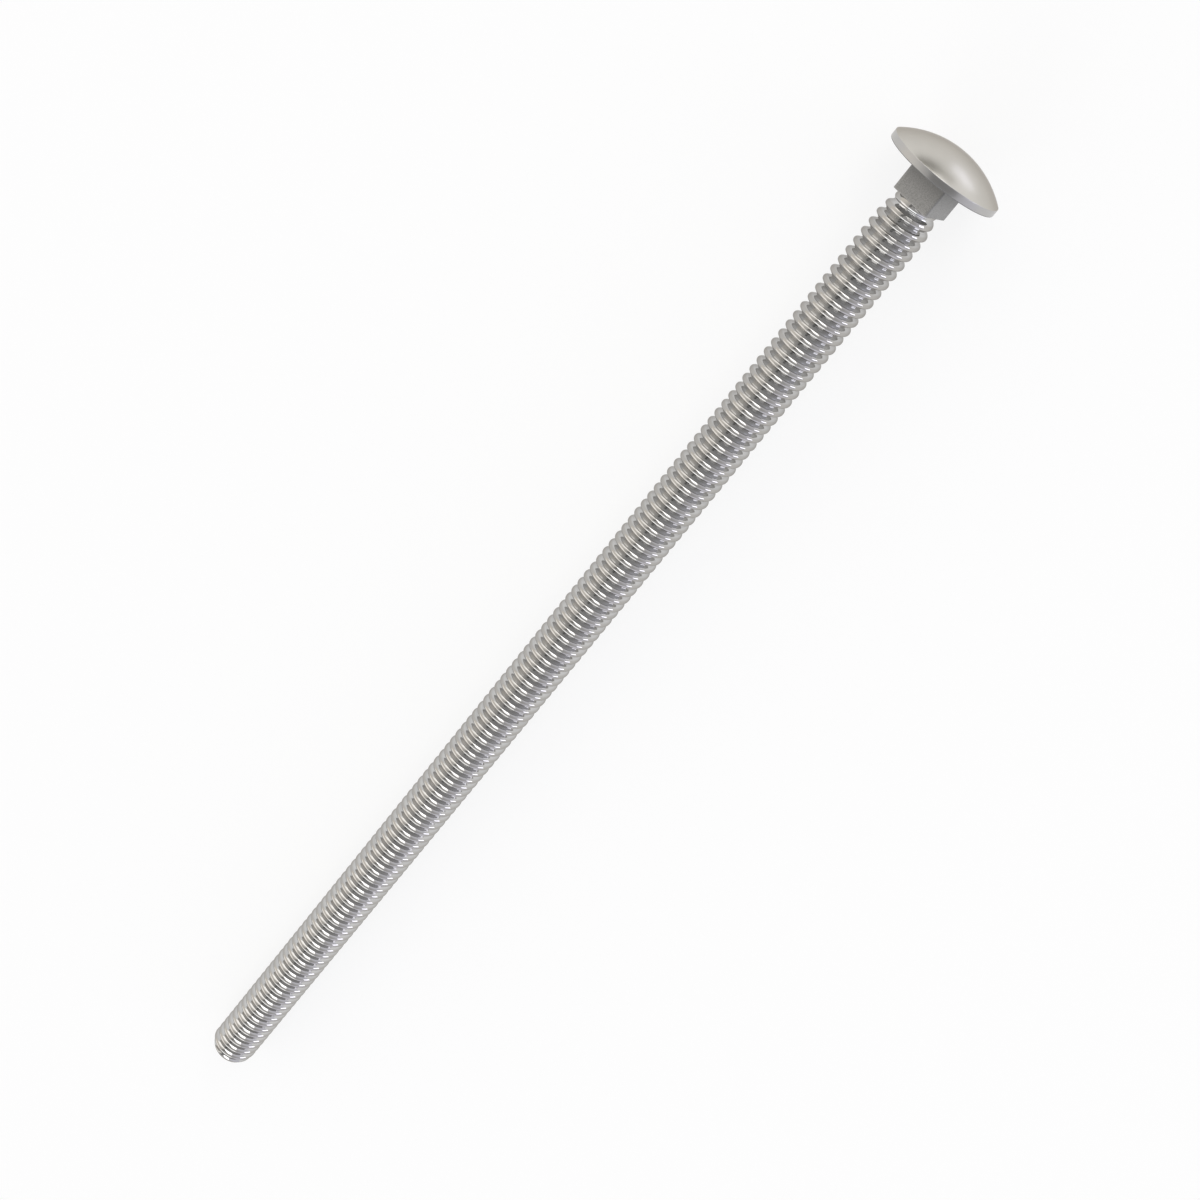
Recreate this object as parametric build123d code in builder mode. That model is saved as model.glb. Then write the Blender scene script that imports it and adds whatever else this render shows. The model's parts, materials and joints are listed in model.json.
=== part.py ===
from build123d import *

import os
from math import asin, atan2, degrees, hypot

# Carriage bolt: domed head, square neck and a shank threaded all the way, one steel forging. Millimetres.
# It lies as it comes to rest, on the rim of its head and on the last full thread before the tip.
# The origin is the centre of the bearing face under the head. +X runs to the head, +Z is up.

# Head: a shallow dome on a short straight rim
head_diameter = 13.14
rim_height = 0.82
dome_height = 2.23
dome_edge_rounding = 0.15
bearing_edge_rounding = 0.08

# Square neck, turned about the bolt's axis by the angle of its flats in degrees
neck_width = 4.8
neck_length = 3.69
neck_turn = -20.9
neck_corner_rounding = 0.12
neck_root_rounding = 0.25

# Shank, measured over the thread's crests, with the thread's core showing beside the neck
bolt_length = 151.2
thread_diameter = 6.06
core_diameter = 4.74
runout_length = 3.7
tip_diameter = 5.0
tip_chamfer_length = 0.9

head_radius = head_diameter / 2
thread_radius = thread_diameter / 2
head_height = rim_height + dome_height
full_thread_start = neck_length + runout_length
full_thread_end = bolt_length - tip_chamfer_length

# The ground line touches the rounded edge of the bearing face and passes through the last full crest.
contact_run = full_thread_end + bearing_edge_rounding
contact_rise = head_radius - bearing_edge_rounding - thread_radius
rounding_angle = asin(bearing_edge_rounding / hypot(contact_run, contact_rise))
lean = degrees(atan2(contact_rise, contact_run) + rounding_angle)

# Profiles are drawn as distance along the axis, positive in the head, against radius.
section = Plane.XZ.rotated((0, -lean, 0))
bolt_axis = Axis((0, 0, 0), section.x_dir)
bearing_plane = Plane((0, 0, 0), x_dir=(0, 1, 0), z_dir=section.x_dir)

with BuildPart() as carriage_bolt:
    # Head: the dome leaves the axis square to it and falls to the rim as one arc.
    with BuildSketch(section):
        with BuildLine():
            Polyline((head_height, 0), (0, 0), (0, head_radius), (rim_height, head_radius))
            TangentArc((head_height, 0), (rim_height, head_radius), tangent=(0, 1))
        make_face()
    revolve(axis=bolt_axis)
    bearing_edge, dome_edge = edges().filter_by(lambda edge: edge.is_closed).sort_by(bolt_axis)
    fillet(bearing_edge, bearing_edge_rounding)
    fillet(dome_edge, dome_edge_rounding)

    # Square neck, with its corners eased and a small radius where it leaves the bearing face.
    with BuildSketch(bearing_plane):
        Rectangle(neck_width, neck_width, rotation=neck_turn)
    extrude(amount=-neck_length)
    fillet(edges(Select.LAST).filter_by(bolt_axis), neck_corner_rounding)
    bearing_face = faces().filter_by(GeomType.PLANE).sort_by(bolt_axis)[-1]
    fillet(bearing_face.inner_wires()[0].edges(), neck_root_rounding)

    # Shank: the thread runs out in a long arc to its core at the neck, and the tip is chamfered.
    with BuildSketch(section):
        with BuildLine():
            Polyline(
                (-full_thread_start, thread_radius),
                (-full_thread_end, thread_radius),
                (-bolt_length, tip_diameter / 2),
                (-bolt_length, 0),
                (-neck_length, 0),
                (-neck_length, core_diameter / 2),
            )
            TangentArc(
                (-full_thread_start, thread_radius),
                (-neck_length, core_diameter / 2),
                tangent=(1, 0),
            )
        make_face()
    revolve(axis=bolt_axis)

carriage_bolt.part.label = "carriage_bolt"

os.makedirs("parts", exist_ok=True)
export_step(carriage_bolt.part, "parts/carriage_bolt.step")
print(f"lean {lean:.4f} degrees, volume {carriage_bolt.part.volume:.1f} cubic millimetres")
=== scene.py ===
import json
from math import ceil, cos, pi, radians, sin, sqrt, tau

import bpy
import numpy as np
from mathutils import Matrix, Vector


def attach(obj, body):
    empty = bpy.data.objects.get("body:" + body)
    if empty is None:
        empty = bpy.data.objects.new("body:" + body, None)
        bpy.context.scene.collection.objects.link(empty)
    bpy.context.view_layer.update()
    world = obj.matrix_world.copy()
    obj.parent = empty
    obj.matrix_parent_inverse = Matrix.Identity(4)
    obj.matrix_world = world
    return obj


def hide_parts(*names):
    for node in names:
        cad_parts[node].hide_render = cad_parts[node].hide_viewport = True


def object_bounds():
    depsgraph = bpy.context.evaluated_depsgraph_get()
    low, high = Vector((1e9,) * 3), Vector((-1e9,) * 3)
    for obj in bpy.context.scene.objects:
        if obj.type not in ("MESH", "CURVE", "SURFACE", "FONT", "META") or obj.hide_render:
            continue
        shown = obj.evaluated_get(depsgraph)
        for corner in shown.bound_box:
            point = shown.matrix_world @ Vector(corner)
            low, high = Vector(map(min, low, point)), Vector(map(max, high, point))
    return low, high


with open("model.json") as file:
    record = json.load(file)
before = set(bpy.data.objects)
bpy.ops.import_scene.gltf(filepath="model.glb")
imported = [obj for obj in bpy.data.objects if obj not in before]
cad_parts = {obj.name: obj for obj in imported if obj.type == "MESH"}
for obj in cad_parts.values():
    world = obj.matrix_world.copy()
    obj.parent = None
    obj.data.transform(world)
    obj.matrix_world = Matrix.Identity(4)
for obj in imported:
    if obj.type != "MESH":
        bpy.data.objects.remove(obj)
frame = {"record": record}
cadLow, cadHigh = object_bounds()
mm = 0.001

# The bolt's own axes: towards the head, to its side, and away from the floor.
mounts = {m["name"]: m for m in frame["record"]["mounts"]}
headward = -np.array(mounts["bearing_face"]["axis"], float)
sideward = np.array((0.0, 1.0, 0.0))
upward = np.cross(headward, sideward)
print("frame loaded, the bolt's axis is", np.round(headward, 4))


class Wire:
    # One socket of a shader tree. Sums and products of wires and numbers add Math nodes.
    def __init__(self, tree, socket=None):
        self.tree = tree
        self.socket = socket

    # Any node: its type, its settings, then the values or links of its sockets.
    def make(self, kind, settings=(), sockets=(), out=0):
        node = self.tree.nodes.new(kind)
        for name, value in dict(settings).items():
            setattr(node, name, value)
        for name, value in dict(sockets).items():
            if isinstance(value, Wire):
                self.tree.links.new(value.socket, node.inputs[name])
            else:
                node.inputs[name].default_value = value
        return Wire(self.tree, node.outputs[out]) if len(node.outputs) else None

    def math(self, operation, *values):
        return self.make("ShaderNodeMath", {"operation": operation}, enumerate(values))

    def __add__(self, other):
        return self.math("ADD", self, other)

    def __radd__(self, other):
        return self.math("ADD", other, self)

    def __sub__(self, other):
        return self.math("SUBTRACT", self, other)

    def __rsub__(self, other):
        return self.math("SUBTRACT", other, self)

    def __mul__(self, other):
        return self.math("MULTIPLY", self, other)

    def __rmul__(self, other):
        return self.math("MULTIPLY", other, self)

    def __truediv__(self, other):
        return self.math("DIVIDE", self, other)

    def __rtruediv__(self, other):
        return self.math("DIVIDE", other, self)


def newMaterial(name):
    material = bpy.data.materials.new(name)
    material.use_nodes = True
    material.node_tree.nodes.clear()
    return material, Wire(material.node_tree)


def output(shade, surface, kind="ShaderNodeOutputMaterial"):
    shade.make(kind, {}, {"Surface": surface})


def dot(shade, vector, direction):
    settings = {"operation": "DOT_PRODUCT"}
    return shade.make("ShaderNodeVectorMath", settings, {0: vector, 1: direction}, "Value")


def mixed(shade, share, first, second):
    return shade.make("ShaderNodeMix", {"data_type": "RGBA"}, {0: share, 6: first, 7: second}, 2)


def ramp(shade, value, low, high, lowResult=0.0, highResult=1.0):
    settings = {"interpolation_type": "SMOOTHSTEP"}
    sockets = {"Value": value, 1: low, 2: high, 3: lowResult, 4: highResult}
    return shade.make("ShaderNodeMapRange", settings, sockets)


def noise(shade, vector, scale, detail=2.0, rough=0.5):
    sockets = {"Vector": vector, "Scale": scale, "Detail": detail, "Roughness": rough}
    return shade.make("ShaderNodeTexNoise", {}, sockets)


def bump(shade, height, strength, distance):
    return shade.make("ShaderNodeBump", {}, {"Height": height, "Strength": strength, "Distance": distance})


# The bolt's sizes in millimetres. Stations are counted from the bearing face towards the tip.
bolt = {
    "name": "carriageBolt",
    "headRadius": 6.57,
    "rimHeight": 0.82,
    "domeHeight": 2.23,
    "domeEdge": 0.03,
    "bearingEdge": 0.08,
    "neckHalf": 2.4,
    "neckLength": 3.69,
    "neckTurn": -20.9,
    "neckCorner": 0.12,
    "neckRoot": 0.25,
    "neckEndEdge": 0.05,
    "length": 151.2,
    "pitch": 1.27,
    "threadStart": 0.211,
    "crestRadius": mounts["threaded_shank"]["dims"]["r_mm"],
    "rootRadius": 2.4,
    "coreRadius": 2.375,
    "neckGroove": 2.22,
    "crestFlat": 0.45,
    "rootFlat": 0.1,
    "rounding": 0.104,
    "runoutLength": 3.7,
    "tipRadius": 2.5,
    "tipChamfer": 0.9,
    "formTerms": 8,
    "columns": 64,
    "rowsPerPitch": 12,
    "domeRings": 26,
    "edgeRings": 6,
    "sharpAngle": 40,
    "crowding": 0.2,  # how far the neck's columns crowd towards its corners
    "leastCorner": 0.01,
    "domeStop": 1.2,  # the dome ends this many edge roundings before the rim
    "bearingRing": 3,  # a ring on the bearing face, in roundings from its edge
    "endRing": 3,  # a ring on the neck's end, in roundings from its edge
    "wallShares": (0.6, 0.3),
    "bearingShares": (0.75, 0.5, 0.25),
    "rootTurns": (90, 67, 45, 22, 0),
    "neckShares": (0.12, 0.4, 0.7, 0.95),
    "endTurns": (0, 45, 90),
    "tipShares": (0.94, 0.5),
}


# Thread form over one pitch, 1 on the crest and 0 in the root: a flat crest, straight flanks and a narrow
# root, as a cosine series whose higher terms fade by a bell curve, which rounds every corner.
def threadForm(phase):
    crest, foot = bolt["crestFlat"], 1 - bolt["rootFlat"]

    def series(place):
        terms = np.arange(1, bolt["formTerms"] + 1)
        size = (np.cos(pi * terms * crest) - np.cos(pi * terms * foot)) / (terms**2 * (foot - crest))
        size = size * np.exp(-2 * (pi * terms * bolt["rounding"]) ** 2)
        return (size * np.cos(tau * np.multiply.outer(place, terms))).sum(-1)

    low, high = series(np.array((0.5, 0.0)))
    return (series(phase) - low) / (high - low)


# Radius of the shank: root plus form times the height of the crests. Both rise along a parabola from the
# neck, and a cone cuts the crests off at the tip.
def shankRadius(station, angle):
    phase = station / bolt["pitch"] - bolt["threadStart"] + angle / tau
    short = np.clip(1 - (station - bolt["neckLength"]) / bolt["runoutLength"], 0, 1)
    crest = bolt["crestRadius"] - (bolt["crestRadius"] - bolt["coreRadius"]) * short**2
    root = bolt["rootRadius"] - (bolt["rootRadius"] - bolt["neckGroove"]) * short**2
    radius = root + (crest - root) * threadForm(phase)
    slope = (bolt["crestRadius"] - bolt["tipRadius"]) / bolt["tipChamfer"]
    return np.minimum(radius, bolt["tipRadius"] + slope * (bolt["length"] - station))


# Distance from the axis to the side of the square neck: half the width over the cosine of the angle from the
# nearest flat, and an arc at each corner. Grown, the outline moves outwards all round.
def neckOutline(angle, grown=0.0):
    half, corner = bolt["neckHalf"] + grown, max(bolt["neckCorner"] + grown, bolt["leastCorner"])
    fromFlat = (angle - radians(bolt["neckTurn"]) + pi / 4) % (pi / 2) - pi / 4
    fromCorner = pi / 4 - np.abs(fromFlat)
    centre = (half - corner) * sqrt(2)
    inside = np.maximum(corner**2 - (centre * np.sin(fromCorner)) ** 2, 0)
    arc = centre * np.cos(fromCorner) + np.sqrt(inside)
    onArc = np.tan(fromCorner) < corner * sin(pi / 4) / (centre + corner * cos(pi / 4))
    return np.where(onArc, arc, half / np.cos(fromFlat))


# Rings of the head from the pole of the dome to the bearing face, as (station, radius): a spherical cap, a
# rounded edge, the rim and another rounded edge. An edge is a quadratic curve between its two tangent points.
def headProfile():
    radius, rise = bolt["headRadius"], bolt["domeHeight"]
    sphere = (radius**2 + rise**2) / (2 * rise)
    reach = np.arcsin(radius / sphere)
    stop = reach - bolt["domeStop"] * bolt["domeEdge"] / sphere
    polar = np.linspace(0, stop, bolt["domeRings"])[1:]
    centre = sphere - rise - bolt["rimHeight"]
    dome = np.stack((centre - sphere * np.cos(polar), sphere * np.sin(polar)), 1)

    def edge(first, corner, last):
        t = np.linspace(0, 1, bolt["edgeRings"])[:, None]
        return (1 - t) ** 2 * np.array(first) + 2 * t * (1 - t) * np.array(corner) + t**2 * np.array(last)

    upper = edge(dome[-1], (-bolt["rimHeight"], radius), (-bolt["rimHeight"] + bolt["domeEdge"], radius))
    lower = edge((-bolt["bearingEdge"], radius), (0, radius), (0, radius - bolt["bearingEdge"]))
    wall = np.array([(-share * bolt["rimHeight"], radius) for share in bolt["wallShares"]])
    inner = [(0, radius - bolt["bearingRing"] * bolt["bearingEdge"])]
    return np.concatenate((dome, upper[1:], wall, lower, inner))


# Every ring of the head and neck, from the dome to the foot of the neck, as whole arrays of station, radius
# and angle. On the neck the columns crowd towards the corners.
def headRings():
    columns = bolt["columns"]
    even = tau * np.arange(columns) / columns
    corner = radians(bolt["neckTurn"]) + pi / 4
    crowded = corner + even - bolt["crowding"] * np.sin(4 * even)
    even = corner + even
    head = headProfile()
    rings = [(np.full(columns, s), np.full(columns, r), even) for s, r in head]
    rootEnd = neckOutline(crowded, bolt["neckRoot"])
    for share in bolt["bearingShares"]:
        angle = crowded + share * (even - crowded)
        rings.append((np.zeros(columns), rootEnd + share * (head[-1, 1] - rootEnd), angle))
    for turn in np.radians(bolt["rootTurns"]):
        station = bolt["neckRoot"] * (1 - sin(turn))
        outline = neckOutline(crowded, bolt["neckRoot"] * (1 - cos(turn)))
        rings.append((np.full(columns, station), outline, crowded))
    edge = bolt["neckEndEdge"]
    for share in bolt["neckShares"]:
        station = share * (bolt["neckLength"] - edge)
        rings.append((np.full(columns, station), neckOutline(crowded), crowded))
    for turn in np.radians(bolt["endTurns"]):
        station = bolt["neckLength"] - edge * (1 - sin(turn))
        rings.append((np.full(columns, station), neckOutline(crowded, -edge * (1 - cos(turn))), crowded))
    inner = neckOutline(crowded, -bolt["endRing"] * edge)
    rings.append((np.full(columns, bolt["neckLength"]), inner, crowded))
    station, radius, angle = (np.stack(part) for part in zip(*rings))
    return station, radius, angle, len(head) - bolt["edgeRings"] - 1


# Points in the frame from station along the axis, radius and angle, in metres.
def place(station, radius, angle):
    side = np.multiply.outer(np.cos(angle), sideward) + np.multiply.outer(np.sin(angle), upward)
    return mm * (radius[..., None] * side - np.multiply.outer(station, headward))


# Two triangles for each cell between neighbouring rings of vertex numbers, counted from head to tip.
def stitch(numbers):
    a, b = numbers[:-1, :-1], numbers[1:, :-1]
    c, d = numbers[1:, 1:], numbers[:-1, 1:]
    cells = np.stack((np.stack((a, b, c), -1), np.stack((a, c, d), -1)), -2).reshape(-1, 3)
    apart = (cells[:, 0] != cells[:, 1]) & (cells[:, 1] != cells[:, 2]) & (cells[:, 2] != cells[:, 0])
    return cells[apart]


def closedRows(numbers):
    return np.concatenate((numbers, numbers[:, :1]), 1)


# The threaded shank is a sheared grid: along a row the station falls by one pitch in a turn, so each row
# keeps one place on the thread's form. Past the last column a row goes on as the row one pitch before it.
# Rows that run past the neck or the tip are held there and share that end's ring.
def shankGrid(firstNumber):
    columns, rows = bolt["columns"], bolt["rowsPerPitch"]
    turns = (bolt["length"] - bolt["neckLength"]) / bolt["pitch"]
    row, column = np.mgrid[0:ceil(turns * rows) + rows + 1, 0:columns + 1]
    row, column = np.where(column == columns, row - rows, row), column % columns
    station = bolt["neckLength"] + bolt["pitch"] * (row / rows - column / columns)
    lastRow = row.max()
    row = np.where(station <= bolt["neckLength"], 0, np.where(station >= bolt["length"], lastRow, row))
    station = np.clip(station, bolt["neckLength"], bolt["length"])
    angle = radians(bolt["neckTurn"]) + pi / 4 + tau * column / columns
    numbers = firstNumber + row * columns + column
    return station, angle, numbers


def buildBolt():
    station, radius, angle, underFrom = headRings()
    headCount, columns = station.shape
    headNumbers = 1 + np.arange(headCount * columns).reshape(headCount, columns)
    shankStation, shankAngle, shankNumbers = shankGrid(1 + headCount * columns)
    rowCount = shankNumbers.shape[0]
    tipStart = 1 + (headCount + rowCount) * columns

    points = np.zeros((tipStart + 2 * columns + 1, 3))
    points[0] = place(np.array(-bolt["rimHeight"] - bolt["domeHeight"]), np.array(0.0), np.array(0.0))
    points[headNumbers] = place(station, radius, angle)
    points[shankNumbers] = place(shankStation, shankRadius(shankStation, shankAngle), shankAngle)
    lastRing = shankNumbers[-1]
    endStation, endAngle = shankStation[-1, :-1], shankAngle[-1, :-1]
    tipNumbers = tipStart + np.arange(2 * columns).reshape(2, columns)
    for ring, share in zip(tipNumbers, bolt["tipShares"]):
        points[ring] = place(endStation, share * shankRadius(endStation, endAngle), endAngle)
    points[-1] = place(np.array(bolt["length"]), np.array(0.0), np.array(0.0))

    pole = np.zeros((1, columns + 1), int)
    end = np.full((1, columns + 1), len(points) - 1)
    head = closedRows(headNumbers)
    zones = (
        stitch(np.concatenate((pole, head[:bolt["domeRings"]]))),
        stitch(head[bolt["domeRings"] - 1:underFrom + 1]),
        stitch(np.concatenate((head[underFrom:], shankNumbers[:1]))),
        stitch(shankNumbers),
        stitch(np.concatenate((lastRing[None], closedRows(tipNumbers), end))),
    )
    faces = np.concatenate(zones)
    finish = np.repeat((0, 1, 2, 3, 2), [len(zone) for zone in zones])
    used, faces = np.unique(faces, return_inverse=True)
    return points[used], faces.reshape(-1, 3), finish


def addMesh(name, points, faces, finish, materials):
    mesh = bpy.data.meshes.new(name)
    mesh.vertices.add(len(points))
    mesh.vertices.foreach_set("co", points.astype(np.float32).ravel())
    mesh.loops.add(faces.size)
    mesh.loops.foreach_set("vertex_index", faces.astype(np.int32).ravel())
    mesh.polygons.add(len(faces))
    mesh.polygons.foreach_set("loop_start", 3 * np.arange(len(faces), dtype=np.int32))
    for material in materials:
        mesh.materials.append(material)
    mesh.polygons.foreach_set("material_index", finish.astype(np.int32))
    mesh.polygons.foreach_set("use_smooth", np.ones(len(faces), bool))
    mesh.update(calc_edges=True)
    mesh.validate()
    mesh.set_sharp_from_angle(angle=radians(bolt["sharpAngle"]))
    piece = bpy.data.objects.new(name, mesh)
    bpy.context.scene.collection.objects.link(piece)
    return piece


# Satin dome, a little warm, with faint clouds and a fine tumbled grain.
satin = {"colour": (0.61, 0.588, 0.545, 1), "dull": (0.58, 0.56, 0.52, 1), "rough": (0.28, 0.32),
         "edgeTint": (0.58, 0.555, 0.525, 1), "cloudScale": 260.0, "cloudDetail": 3.0,
         "roughClouds": (0.3, 0.7), "dullClouds": (0.35, 0.75), "grainScale": 9000.0,
         "grainStrength": 0.04, "relief": 0.00002}


def satinDome():
    material, shade = newMaterial("satinDome")
    at = shade.make("ShaderNodeTexCoord", {}, {}, "Object")
    cloud = noise(shade, at, satin["cloudScale"], satin["cloudDetail"])
    grain = noise(shade, at, satin["grainScale"])
    rough = ramp(shade, cloud, *satin["roughClouds"], *satin["rough"])
    dulled = ramp(shade, cloud, *satin["dullClouds"])
    colour = mixed(shade, dulled, satin["colour"], satin["dull"])
    normal = bump(shade, grain, satin["grainStrength"], satin["relief"])
    sockets = {"Base Color": colour, "Metallic": 1.0, "Roughness": rough, "Normal": normal,
               "Specular Tint": satin["edgeTint"]}
    output(shade, shade.make("ShaderNodeBsdfPrincipled", {}, sockets))
    return material


# Forged faces: a duller rim, and a dark, matt, finely grained neck. Each finish's corner colour is painted
# shade:
# the neck is darkest in the corner under the head, and the rim and bearing face carry that painted shade all
# over.
rim = {"name": "forgedRim", "colour": (0.49, 0.482, 0.468, 1), "dark": (0.45, 0.442, 0.43, 1),
       "corner": (0.47, 0.462, 0.45, 1), "rough": 0.36, "relief": 0.000004}
neck = {"name": "forgedNeck", "colour": (0.36, 0.356, 0.348, 1), "dark": (0.255, 0.252, 0.247, 1),
        "corner": (0.15, 0.149, 0.146, 1), "rough": 0.5, "relief": 0.00003}
forging = {"grainScale": 8000.0, "grainDetail": 3.0, "grainRough": 0.65, "darkGrain": (0.35, 0.7),
           "grainStrength": 0.25, "paintedShadeReach": 3.2, "paintedShadeShare": 0.7}


def forgedSteel(finish):
    material, shade = newMaterial(finish["name"])
    at = shade.make("ShaderNodeTexCoord", {}, {}, "Object")
    grain = noise(shade, at, forging["grainScale"], forging["grainDetail"], forging["grainRough"])
    station = dot(shade, at, tuple(-headward)) / mm
    # Painted shade: the colour darkens towards the corner colour under the head and fades out along the axis.
    away = ramp(shade, station, 0.0, forging["paintedShadeReach"])
    darkened = ramp(shade, grain, *forging["darkGrain"])
    colour = mixed(shade, darkened, finish["colour"], finish["dark"])
    shaded = mixed(shade, forging["paintedShadeShare"], colour, finish["corner"])
    colour = mixed(shade, away, shaded, colour)
    normal = bump(shade, grain, forging["grainStrength"], finish["relief"])
    sockets = {"Base Color": colour, "Metallic": 1.0, "Roughness": finish["rough"], "Normal": normal}
    output(shade, shade.make("ShaderNodeBsdfPrincipled", {}, sockets))
    return material


# Bright rolled thread, with fine streaks along the helix on its flanks. The flanks' colour is lighter than
# the crests': painted light, which brightens the grooves where the thread reflects itself.
rolled = {"crest": (0.45, 0.437, 0.418, 1), "flank": (0.57, 0.567, 0.56, 1), "streak": (0.36, 0.36, 0.362, 1),
          "edgeTint": (0.605, 0.59, 0.575, 1), "rough": (0.035, 0.08), "alongScale": 3.0, "acrossScale": 6.0,
          "streakShare": 0.35, "relief": 0.000005, "turnStep": 0.37, "streakDetail": 3.0, "streakRough": 0.6,
          "flankFrom": (0.16, 0.32), "markFrom": (0.45, 0.7), "roughFrom": (0.2, 0.8), "flankPart": 0.5}


def rolledThread():
    material, shade = newMaterial("rolledThread")
    at = shade.make("ShaderNodeTexCoord", {}, {}, "Object")
    along = dot(shade, at, tuple(-headward)) / (bolt["pitch"] * mm)
    angle = shade.math("ARCTAN2", dot(shade, at, tuple(upward)), dot(shade, at, tuple(sideward))) / tau
    phase = along - bolt["threadStart"] + angle
    turn = shade.math("FLOOR", phase + 0.5)
    across = phase - turn
    ahead = angle - turn
    places = {0: ahead * rolled["alongScale"], 1: across * rolled["acrossScale"],
              2: turn * rolled["turnStep"]}
    spread = shade.make("ShaderNodeCombineXYZ", {}, places)
    streak = noise(shade, spread, 1.0, rolled["streakDetail"], rolled["streakRough"])
    onFlank = ramp(shade, shade.math("ABSOLUTE", across), *rolled["flankFrom"])
    marked = ramp(shade, streak, *rolled["markFrom"]) * onFlank
    # Painted light: the flanks get a lighter colour than the darker, warmer crests, so the grooves read
    # brighter.
    colour = mixed(shade, onFlank, rolled["crest"], rolled["flank"])
    colour = mixed(shade, marked * rolled["streakShare"], colour, rolled["streak"])
    worn = onFlank * rolled["flankPart"] + streak * (1 - rolled["flankPart"])
    rough = ramp(shade, worn, *rolled["roughFrom"], *rolled["rough"])
    normal = bump(shade, streak * onFlank, 1.0, rolled["relief"])
    sockets = {"Base Color": colour, "Metallic": 1.0, "Roughness": rough, "Normal": normal,
               "Specular Tint": rolled["edgeTint"]}
    output(shade, shade.make("ShaderNodeBsdfPrincipled", {}, sockets))
    return material


points, faces, finish = buildBolt()
finishes = (satinDome(), forgedSteel(rim), forgedSteel(neck), rolledThread())
piece = addMesh(bolt["name"], points, faces, finish, finishes)
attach(piece, "root")
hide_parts("carriage_bolt")
print("bolt made,", len(faces), "triangles")


# Studio. A far card stands off straight up by so many degrees towards the head and the side, and its length
# runs along a direction. A low card is close to the head, placed in millimetres before the bearing face, to
# the side and above the floor, with its length to the side. Brightness is a surface's own, where 1 is white.
studio = {
    "zenith": (0.58, 0.58, 0.585, 1),
    "warmUpper": (0.74, 0.73, 0.71, 1),
    "warmSide": (1.08, 1.04, 0.98, 1),
    "coolSide": (0.81, 0.81, 0.88, 1),
    "floorColour": (0.90, 0.90, 0.895, 1),
    "floorWhite": 0.8,
    "floorSize": 8.0,
    "white": (1, 1, 1, 1),
    "sideBlend": (-0.5, 0.5),
    "upperBlend": (0.1, 0.75),
    "heightBlend": (0.35, 0.92),
    "farCards": (
        {"name": "mainBox", "off": (58, 1.5), "far": 2.0, "size": (2.0, 0.9), "along": (0.97, 0.24, 0),
         "light": (3.2, 3.2, 3.2, 1)},
        {"name": "upperBox", "off": (20, -13), "far": 2.0, "size": (0.9, 0.7), "along": (0.93, 0.37, 0),
         "light": (1.05, 1.05, 1.07, 1)},
        {"name": "warmBox", "off": (61, 48), "far": 2.0, "size": (1.3, 0.95), "along": (1, 0, 0),
         "light": (1.8, 1.76, 1.7, 1)},
        {"name": "sideBox", "off": (27, -78), "far": 2.0, "size": (0.85, 1.2), "along": (0.94, 0.34, 0),
         "light": (3.3, 3.35, 3.8, 1)},
        {"name": "tipBox", "off": (-68, -2), "far": 2.0, "size": (1.4, 1.3), "along": (1, 0, 0),
         "light": (2.3, 2.35, 2.4, 1)},
        {"name": "backBox", "off": (-56, 50), "far": 2.0, "size": (1.6, 1.3), "along": (1, 0, 0),
         "light": (1.75, 1.7, 1.64, 1)},
        {"name": "coolBox", "off": (-60, -52), "far": 2.0, "size": (1.4, 1.2), "along": (1, 0, 0),
         "light": (1.1, 1.11, 1.28, 1)},
        {"name": "flag", "off": (20, 22), "far": 1.4, "size": (1.7, 0.32), "along": (1, 0, 0),
         "light": (0.28, 0.28, 0.28, 1)},
    ),
    "lowCards": (
        {"name": "darkBar", "at": (42, 4, 3.8), "size": (26, 7.5), "facing": (-1, 0, 0),
         "light": (0.3, 0.295, 0.25, 1)},
        {"name": "darkPost", "at": (38, 12, 6.0), "size": (17, 13), "facing": (-1, 0, 0),
         "light": (0.06, 0.057, 0.04, 1)},
        {"name": "groundWhite", "at": (21, -6, 0.1), "size": (10, 9), "facing": (0, 0, 1),
         "light": (1.75, 1.78, 1.95, 1)},
        {"name": "rimFlag", "at": (-0.1, -1.5, 15.1), "size": (6.0, 1.8), "facing": (0, 0, -1),
         "light": (0.22, 0.22, 0.22, 1)},
    ),
}


# A flat card that lights by its own glow and isn't seen itself.
def addCard(spec, centre, along, across, size):
    length, width = size
    corners = [centre + x * length / 2 * along + y * width / 2 * across
               for x, y in ((-1, -1), (-1, 1), (1, 1), (1, -1))]
    material, shade = newMaterial(spec["name"])
    output(shade, shade.make("ShaderNodeEmission", {}, {"Color": spec["light"], "Strength": 1.0}))
    mesh = bpy.data.meshes.new(spec["name"])
    mesh.from_pydata([tuple(c) for c in corners], [], [(0, 1, 2, 3)])
    mesh.materials.append(material)
    card = bpy.data.objects.new(spec["name"], mesh)
    bpy.context.scene.collection.objects.link(card)
    card.visible_camera = False
    return card


def addFarCard(spec):
    headOff, sideOff = np.radians(spec["off"])
    off = np.hypot(headOff, sideOff)
    towards = np.array((sin(off) * headOff / off, sin(off) * sideOff / off, cos(off)))
    across = np.cross(towards, spec["along"])
    across = across / np.linalg.norm(across)
    addCard(spec, spec["far"] * towards, np.cross(across, towards), across, spec["size"])


# Low cards show only as reflections: they neither light the floor nor shade it.
def addLowCard(spec):
    centre = mm * np.array(spec["at"]) + (0, 0, cadLow.z)
    card = addCard(spec, centre, sideward, np.cross(spec["facing"], sideward), mm * np.array(spec["size"]))
    card.visible_diffuse = False
    card.visible_shadow = False


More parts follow.
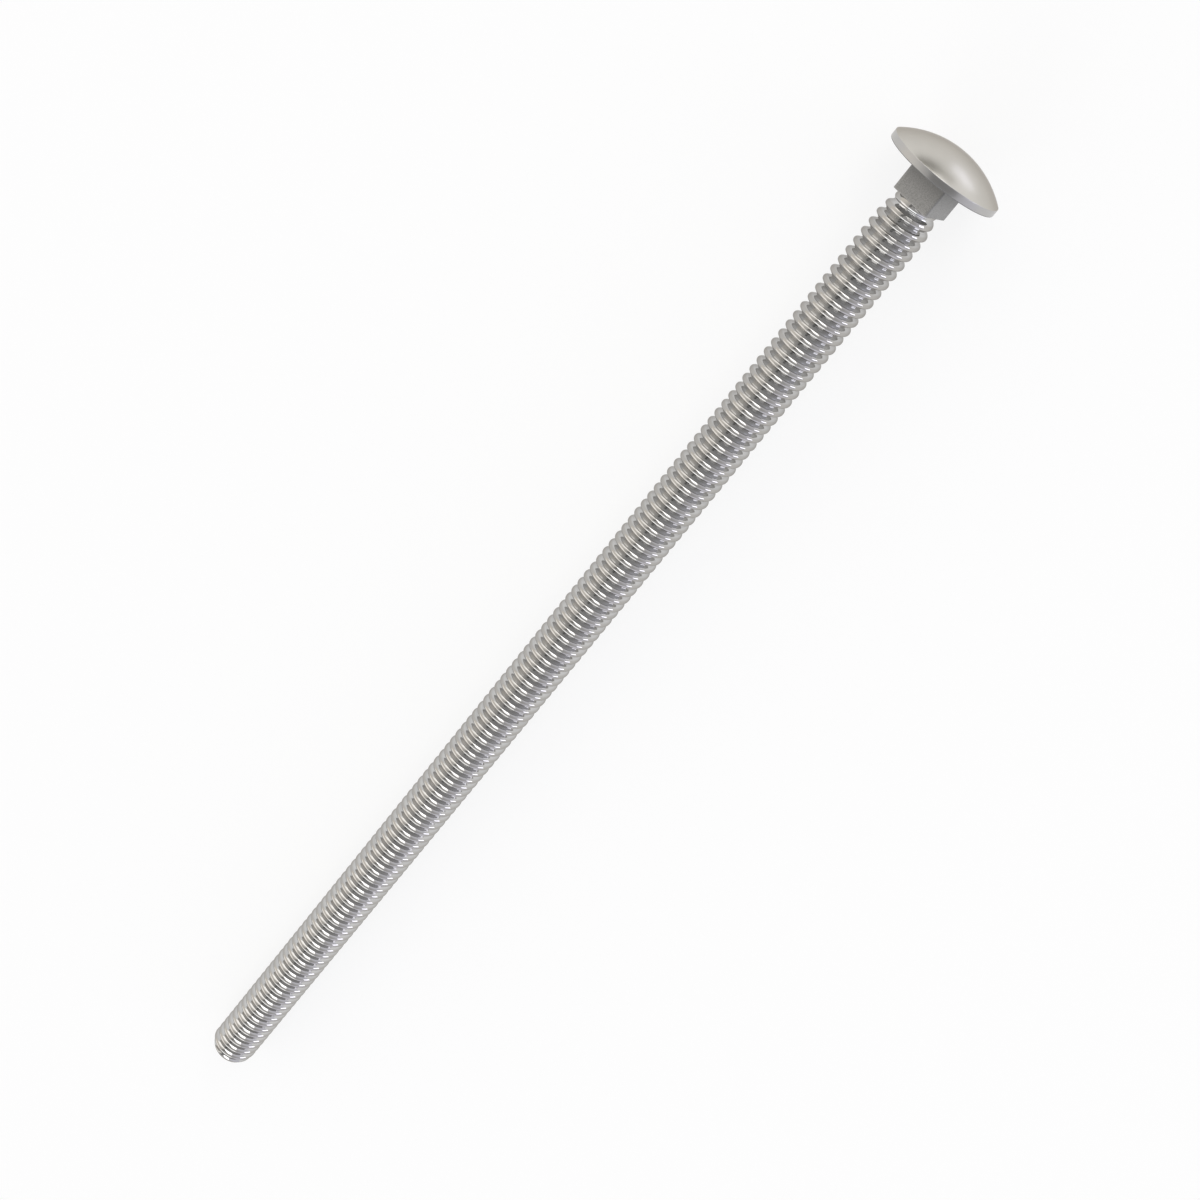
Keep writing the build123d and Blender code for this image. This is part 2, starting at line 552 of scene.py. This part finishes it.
def floorMaterial():
    material, shade = newMaterial("paleFloor")
    seen = shade.make("ShaderNodeLightPath", {}, {}, "Is Camera Ray")
    mirrored = shade.make("ShaderNodeLightPath", {}, {}, "Is Glossy Ray")
    white = shade.make("ShaderNodeEmission", {}, {"Color": studio["white"], "Strength": 1.0})
    paint = shade.make("ShaderNodeBsdfDiffuse", {}, {"Color": studio["floorColour"]})
    passed = shade.make("ShaderNodeLightPath", {}, {}, "Is Transmission Ray")
    shown = shade.math("MAXIMUM", mirrored, passed)
    share = shade.math("MAXIMUM", seen, shown) * studio["floorWhite"]
    output(shade, shade.make("ShaderNodeMixShader", {}, {0: share, 1: paint, 2: white}))
    return material


def addFloor():
    half = studio["floorSize"] / 2
    mesh = bpy.data.meshes.new("floor")
    corners = [(x * half, y * half, cadLow.z) for x, y in ((-1, -1), (1, -1), (1, 1), (-1, 1))]
    mesh.from_pydata(corners, [], [(0, 1, 2, 3)])
    mesh.materials.append(floorMaterial())
    floor = bpy.data.objects.new("floor", mesh)
    bpy.context.scene.collection.objects.link(floor)


def setWorld():
    world = bpy.data.worlds.new("softRoom")
    world.use_nodes = True
    world.node_tree.nodes.clear()
    bpy.context.scene.world = world
    shade = Wire(world.node_tree)
    direction = shade.make("ShaderNodeTexCoord", {}, {}, "Generated")
    high = dot(shade, direction, (0, 0, 1))
    side = dot(shade, direction, (0, 1, 0))
    horizon = mixed(shade, ramp(shade, side, *studio["sideBlend"]), studio["coolSide"], studio["warmSide"])
    above = mixed(shade, ramp(shade, side, *studio["upperBlend"]), studio["zenith"], studio["warmUpper"])
    seen = shade.make("ShaderNodeLightPath", {}, {}, "Is Camera Ray")
    room = mixed(shade, ramp(shade, high, *studio["heightBlend"]), horizon, above)
    colour = mixed(shade, seen, room, studio["white"])
    output(shade, shade.make("ShaderNodeBackground", {}, {"Color": colour, "Strength": 1.0}),
           "ShaderNodeOutputWorld")


addFloor()
setWorld()
for spec in studio["farCards"]:
    addFarCard(spec)
for spec in studio["lowCards"]:
    addLowCard(spec)
print("studio set")


# Camera, placed along the bolt's own axes from the bearing face, in millimetres. It looks down, leaning
# towards the tip, and is rolled so that the bolt runs from corner to corner.
view = {"stand": (34.737, -0.38, 190.216), "lean": 26.863, "roll": 39.253, "lens": 55.2, "sensor": 36.0,
        "clip": (0.005, 50.0)}


def addCamera():
    axes = np.stack((headward, sideward, upward))
    lean, roll = radians(view["lean"]), radians(view["roll"])
    right = (cos(lean) * sin(roll), -cos(roll), -sin(lean) * sin(roll))
    top = (cos(lean) * cos(roll), sin(roll), -sin(lean) * cos(roll))
    back = (sin(lean), 0.0, cos(lean))
    turned = np.array((right, top, back)) @ axes
    data = bpy.data.cameras.new("camera")
    data.lens = view["lens"]
    data.sensor_width = view["sensor"]
    data.clip_start, data.clip_end = view["clip"]
    camera = bpy.data.objects.new("camera", data)
    stance = np.eye(4)
    stance[:3, :3] = turned.T
    stance[:3, 3] = mm * np.array(view["stand"]) @ axes
    camera.matrix_world = Matrix(stance.tolist())
    bpy.context.scene.collection.objects.link(camera)
    bpy.context.scene.camera = camera


addCamera()
bpy.context.scene.view_settings.view_transform = "Standard"
print("camera placed")
